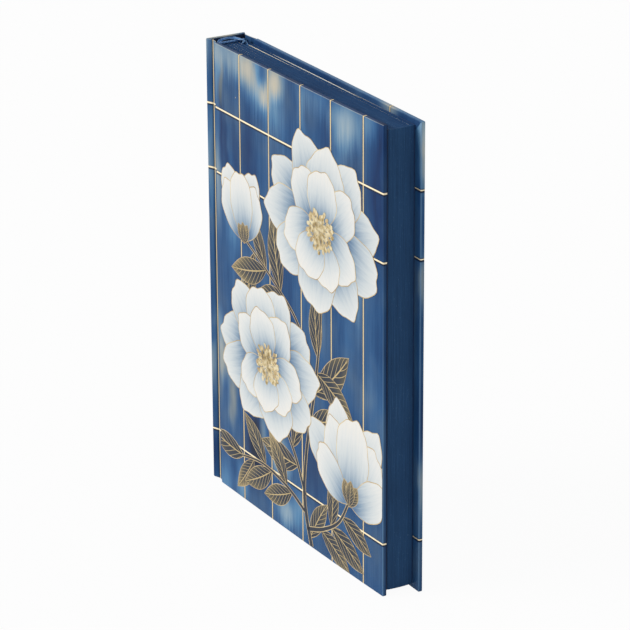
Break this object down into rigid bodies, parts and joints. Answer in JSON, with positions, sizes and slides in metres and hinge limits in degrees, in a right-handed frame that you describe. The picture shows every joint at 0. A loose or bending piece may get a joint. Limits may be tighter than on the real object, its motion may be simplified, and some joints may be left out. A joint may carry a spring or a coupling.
{
  "type": "hardcover diary",
  "caption": "Case-bound A5 diary standing on its tail, with covers that open on French grooves, leaves that fan, bands at head and tail and a ribbon marker.",
  "frame": {"origin": "centre of the bounding box in plan, at the tail edge that the book stands on", "axes": "+Z from tail to head, +X from the spine to the fore-edge, +Y from the front cover to the back cover"},
  "size_m": [0.158, 0.0204, 0.216],
  "materials": {
    "cover_paper": "satin laminated print in blues with a gold foil grid",
    "greyboard": "raw pressed greyboard",
    "endpaper": "uncoated, dyed navy",
    "pages": "uncoated, edges dyed blue",
    "mull": "starched open gauze",
    "kraft": "brown kraft paper",
    "band": "woven cotton bead",
    "satin": "satin ribbon"
  },
  "bodies": {
    "spine": {"spine_board": "greyboard", "spine_cover_paper": "cover_paper", "spine_mull": "mull", "spine_lining": "kraft", "head_band": "band", "tail_band": "band", "ribbon_anchor": "satin"},
    "front_joint": {"front_joint_strip": "cover_paper"},
    "front_cover": {"front_board": "greyboard", "front_cover_paper": "cover_paper", "front_mull_flap": "mull", "front_pastedown": "endpaper"},
    "front_leaf": {"front_flyleaf": "endpaper"},
    "section_01": {"signature_01": "pages"},
    "section_02": {"signature_02": "pages"},
    "section_03": {"signature_03": "pages"},
    "section_04": {"signature_04": "pages"},
    "section_05": {"signature_05": "pages"},
    "section_06": {"signature_06": "pages"},
    "section_07": {"signature_07": "pages", "ribbon_tail": "satin"},
    "section_08": {"signature_08": "pages"},
    "back_leaf": {"back_flyleaf": "endpaper"},
    "back_joint": {"back_joint_strip": "cover_paper"},
    "back_cover": {"back_board": "greyboard", "back_cover_paper": "cover_paper", "back_mull_flap": "mull", "back_pastedown": "endpaper"}
  },
  "joints": [
    {"name": "front_cover_swing", "type": "hinge", "parent": "spine", "child": "front_joint", "pos_m": [-0.0749, -0.00835, 0.108], "axis": [0, 0, -1], "range_deg": [0, 90]},
    {"name": "front_board_fold", "type": "hinge", "parent": "front_joint", "child": "front_cover", "pos_m": [-0.0704, -0.00915, 0.108], "axis": [0, 0, -1], "range_deg": [0, 90]},
    {"name": "section_01_fan", "type": "hinge", "parent": "spine", "child": "section_01", "pos_m": [-0.07225, -0.00654, 0.108], "axis": [0, 0, -1], "range_deg": [0, 95]},
    {"name": "front_leaf_fan", "type": "hinge", "parent": "section_01", "child": "front_leaf", "pos_m": [-0.07125, -0.00752, 0.108], "axis": [0, 0, -1], "range_deg": [0, 12]},
    {"name": "section_02_fan", "type": "hinge", "parent": "spine", "child": "section_02", "pos_m": [-0.07225, -0.00471, 0.108], "axis": [0, 0, -1], "range_deg": [0, 15]},
    {"name": "section_03_fan", "type": "hinge", "parent": "spine", "child": "section_03", "pos_m": [-0.07225, -0.00289, 0.108], "axis": [0, 0, -1], "range_deg": [0, 9]},
    {"name": "section_04_fan", "type": "hinge", "parent": "spine", "child": "section_04", "pos_m": [-0.07225, -0.00106, 0.108], "axis": [0, 0, -1], "range_deg": [0, 4]},
    {"name": "back_cover_swing", "type": "hinge", "parent": "spine", "child": "back_joint", "pos_m": [-0.0749, 0.00835, 0.108], "axis": [0, 0, 1], "range_deg": [0, 90]},
    {"name": "back_board_fold", "type": "hinge", "parent": "back_joint", "child": "back_cover", "pos_m": [-0.0664, 0.00915, 0.108], "axis": [0, 0, 1], "range_deg": [0, 90]},
    {"name": "section_08_fan", "type": "hinge", "parent": "spine", "child": "section_08", "pos_m": [-0.07225, 0.00654, 0.108], "axis": [0, 0, 1], "range_deg": [0, 95]},
    {"name": "back_leaf_fan", "type": "hinge", "parent": "section_08", "child": "back_leaf", "pos_m": [-0.07125, 0.00752, 0.108], "axis": [0, 0, 1], "range_deg": [0, 4]},
    {"name": "section_07_fan", "type": "hinge", "parent": "spine", "child": "section_07", "pos_m": [-0.07225, 0.00441, 0.108], "axis": [0, 0, 1], "range_deg": [0, 15]},
    {"name": "section_06_fan", "type": "hinge", "parent": "spine", "child": "section_06", "pos_m": [-0.07225, 0.00259, 0.108], "axis": [0, 0, 1], "range_deg": [0, 9]},
    {"name": "section_05_fan", "type": "hinge", "parent": "spine", "child": "section_05", "pos_m": [-0.07225, 0.00076, 0.108], "axis": [0, 0, 1], "range_deg": [0, 4]}
  ],
  "couplings": [
    {"joint": "front_board_fold", "follows": "front_cover_swing", "ratio": 1},
    {"joint": "section_01_fan", "follows": "front_cover_swing", "ratio": 1.05},
    {"joint": "front_leaf_fan", "follows": "front_cover_swing", "ratio": 0.13},
    {"joint": "section_02_fan", "follows": "front_cover_swing", "ratio": 0.166},
    {"joint": "section_03_fan", "follows": "front_cover_swing", "ratio": 0.1},
    {"joint": "section_04_fan", "follows": "front_cover_swing", "ratio": 0.044},
    {"joint": "back_board_fold", "follows": "back_cover_swing", "ratio": 1},
    {"joint": "section_08_fan", "follows": "back_cover_swing", "ratio": 1.05},
    {"joint": "back_leaf_fan", "follows": "back_cover_swing", "ratio": 0.044},
    {"joint": "section_07_fan", "follows": "back_cover_swing", "ratio": 0.166},
    {"joint": "section_06_fan", "follows": "back_cover_swing", "ratio": 0.1},
    {"joint": "section_05_fan", "follows": "back_cover_swing", "ratio": 0.044}
  ]
}
